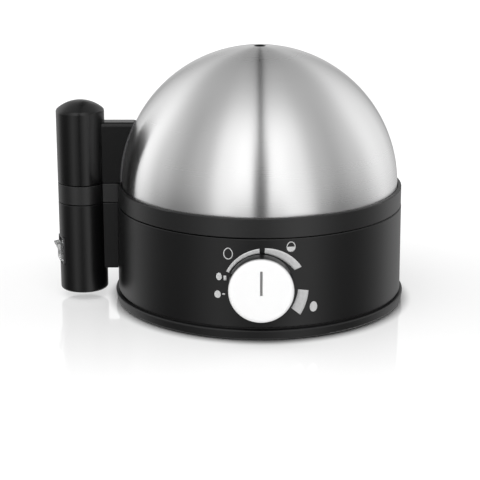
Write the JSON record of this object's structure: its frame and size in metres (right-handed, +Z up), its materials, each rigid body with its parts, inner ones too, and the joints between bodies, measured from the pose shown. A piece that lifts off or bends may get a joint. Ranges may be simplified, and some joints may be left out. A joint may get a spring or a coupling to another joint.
{
  "type": "electric egg cooker",
  "caption": "Electric egg cooker with a heated base, a lift-out egg tray, a steel dome and one upright handle in three thirds.",
  "frame": {"origin": "where the dome's axis meets the table", "axes": "+Z up along the dome's axis, -Y towards the knob, -X towards the handle"},
  "size_m": [0.2256, 0.1989, 0.1629],
  "materials": {
    "housing_plastic": "satin moulded, dark grey",
    "plate_plastic": "matt moulded, black",
    "tray_plastic": "satin moulded, dark grey",
    "handle_black": "gloss moulded, black",
    "dome_steel": "brushed round the dome",
    "dish_steel": "satin pressed",
    "heater_alloy": "as cast",
    "element_sheath": "dull annealed",
    "zinc_steel": "zinc plated",
    "shield_alloy": "rolled sheet",
    "terminal_brass": "stamped",
    "seal_silicone": "moulded silicone",
    "foot_rubber": "matt",
    "knob_plastic": "satin moulded, white",
    "pointer_plastic": "satin, grey",
    "rocker_clear": "translucent moulded",
    "switch_plastic": "moulded, black",
    "lamp_glass": "clear",
    "board_laminate": "glass-fibre laminate",
    "component_black": "moulded",
    "component_blue": "moulded",
    "winding_tape": "taped winding",
    "fuse_case": "drawn",
    "lead_insulation": "silicone sleeve"
  },
  "bodies": {
    "base": {"housing": "housing_plastic", "base_plate": "plate_plastic", "foot_ring": "foot_rubber", "base_plate_screws": "zinc_steel", "cord_bushing": "foot_rubber", "dish_gasket": "seal_silicone", "heating_dish": "dish_steel", "heater_plate": "heater_alloy", "heating_element": "element_sheath", "element_terminals": "terminal_brass", "clamp_bridge": "zinc_steel", "bridge_screws": "zinc_steel", "clamp_nuts": "zinc_steel", "heat_shield": "shield_alloy", "thermostat": "component_black", "thermal_fuse": "fuse_case", "fuse_clip": "zinc_steel", "power_board": "board_laminate", "board_screws": "zinc_steel", "relay": "component_black", "transformer": "winding_tape", "capacitor": "component_blue", "terminal_block": "component_blue", "buzzer": "component_black", "wiring_leads": "lead_insulation", "potentiometer": "component_black", "potentiometer_nut": "zinc_steel", "control_board": "board_laminate", "base_handle": "housing_plastic", "base_handle_cover": "housing_plastic", "base_handle_screws": "zinc_steel", "switch_body": "switch_plastic", "switch_terminals": "terminal_brass", "indicator_lamp": "lamp_glass"},
    "knob": {"knob_cap": "knob_plastic", "knob_pointer": "pointer_plastic", "knob_shaft": "zinc_steel", "knob_clip": "zinc_steel"},
    "rocker": {"rocker_cap": "rocker_clear"},
    "tray": {"egg_tray": "tray_plastic"},
    "lid": {"lid_dome": "dome_steel", "lid_handle": "handle_black", "lid_handle_cover": "handle_black", "lid_handle_gasket": "seal_silicone", "lid_handle_screws": "zinc_steel"}
  },
  "joints": [
    {"name": "knob_turn", "type": "hinge", "parent": "base", "child": "knob", "pos_m": [0, -0.1, 0.0353], "axis": [0, 1, 0], "range_deg": [-110, 130]},
    {"name": "rocker_tilt", "type": "hinge", "parent": "base", "child": "rocker", "pos_m": [-0.12432, -0.00386, 0.032], "axis": [-0.342, 0.9397, 0], "range_deg": [0, 26]},
    {"name": "tray_lift", "type": "slide", "parent": "base", "child": "tray", "axis": [0, 0, 1], "range_m": [0, 0.08]},
    {"name": "lid_lift", "type": "slide", "parent": "tray", "child": "lid", "axis": [0, 0, 1], "range_m": [0, 0.12]}
  ]
}
